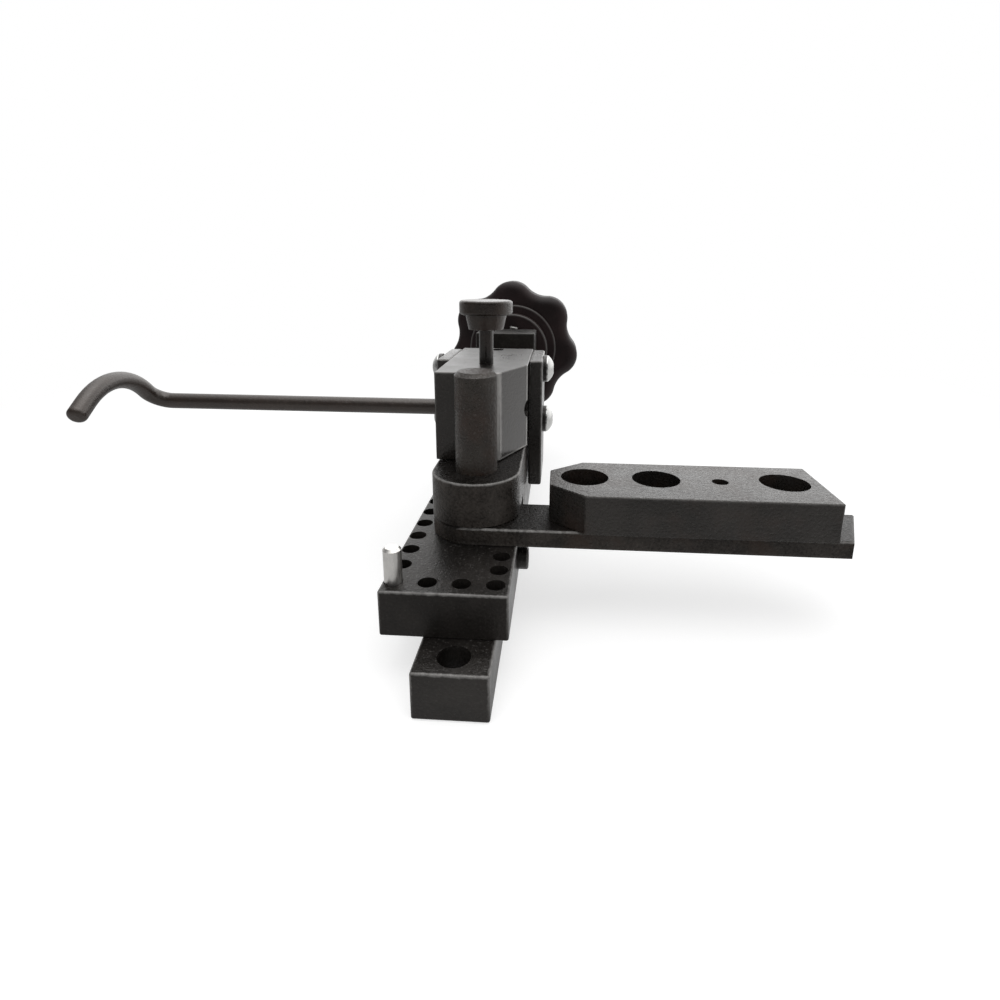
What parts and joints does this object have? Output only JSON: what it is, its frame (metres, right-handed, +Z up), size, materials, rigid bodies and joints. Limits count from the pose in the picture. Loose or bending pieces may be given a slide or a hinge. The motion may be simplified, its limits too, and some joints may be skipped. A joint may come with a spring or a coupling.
{
  "type": "universal bender",
  "caption": "Bench bender for rod and strip: a screw slide clamps the work beside a round post and a swinging arm with pin bores bends it against a pegged stop",
  "frame": {"origin": "on the forming post's axis, at the underside of the mounting bar", "axes": "+X along the swing arm at rest, +Y from the worker's side towards the star knob, +Z up"},
  "size_m": [0.3005, 0.267, 0.1236],
  "materials": {
    "black_oxide_steel": "black oxide on milled steel, satin, edges worn bright",
    "dark_ground_steel": "turned and blackened, satin",
    "black_screw": "black oxide, slightly oily",
    "bright_screw": "zinc plated, bright",
    "bright_pin": "ground steel, bright",
    "browned_rod": "blackened bar with a brown cast, satin",
    "bronze": "sintered, oily",
    "black_plastic": "moulded, fine satin"
  },
  "bodies": {
    "frame": {"mounting_bar": "black_oxide_steel", "base_plate": "black_oxide_steel", "bed_block": "black_oxide_steel", "nut_plate": "black_oxide_steel", "forming_post": "dark_ground_steel", "bed_screws": "black_screw", "bar_screw": "black_screw", "nut_plate_screws": "black_screw", "post_screw": "black_screw"},
    "arm": {"swing_arm": "black_oxide_steel", "arm_bush": "bronze", "arm_block": "black_oxide_steel", "arm_block_screws": "black_screw"},
    "slide": {"slide_block": "black_oxide_steel", "left_cheek": "black_oxide_steel", "right_cheek": "black_oxide_steel", "cheek_screws": "bright_screw", "cheek_washers": "black_screw", "feed_retainer": "black_screw"},
    "feed": {"feed_screw": "dark_ground_steel", "knob_collar": "dark_ground_steel", "collar_screw": "bright_screw", "star_knob": "black_plastic"},
    "rod": {"stop_rod": "browned_rod"},
    "thumb_shank": {"thumb_stud": "dark_ground_steel"},
    "thumb_head": {"thumb_knob": "browned_rod"},
    "pin": {"stop_pin": "bright_pin"}
  },
  "joints": [
    {"name": "arm_swing", "type": "hinge", "parent": "frame", "child": "arm", "pos_m": [0, 0, 0.032], "axis": [0, 0, 1], "range_deg": [-89, 20]},
    {"name": "clamp_slide", "type": "slide", "parent": "frame", "child": "slide", "axis": [0, 1, 0], "range_m": [-0.0012, 0.031]},
    {"name": "feed_turn", "type": "hinge", "parent": "slide", "child": "feed", "pos_m": [0, 0.082, 0.0805], "axis": [0, 1, 0], "range_deg": [-144, 3720]},
    {"name": "rod_slide", "type": "slide", "parent": "slide", "child": "rod", "axis": [1, 0, 0], "range_m": [-0.005, 0.11]},
    {"name": "thumb_travel", "type": "slide", "parent": "slide", "child": "thumb_shank", "axis": [0, 0, 1], "range_m": [0, 0.003]},
    {"name": "thumb_turn", "type": "hinge", "parent": "thumb_shank", "child": "thumb_head", "pos_m": [0, 0.0325, 0.1], "axis": [0, 0, 1], "range_deg": [0, 1080.01]},
    {"name": "pin_lift", "type": "slide", "parent": "frame", "child": "pin", "axis": [0, 0, 1], "range_m": [0, 0.014]}
  ],
  "couplings": [
    {"joint": "clamp_slide", "follows": "feed_turn", "m_per_rad": 0.00047746},
    {"joint": "thumb_turn", "follows": "thumb_travel", "rad_per_m": 6283.2}
  ]
}
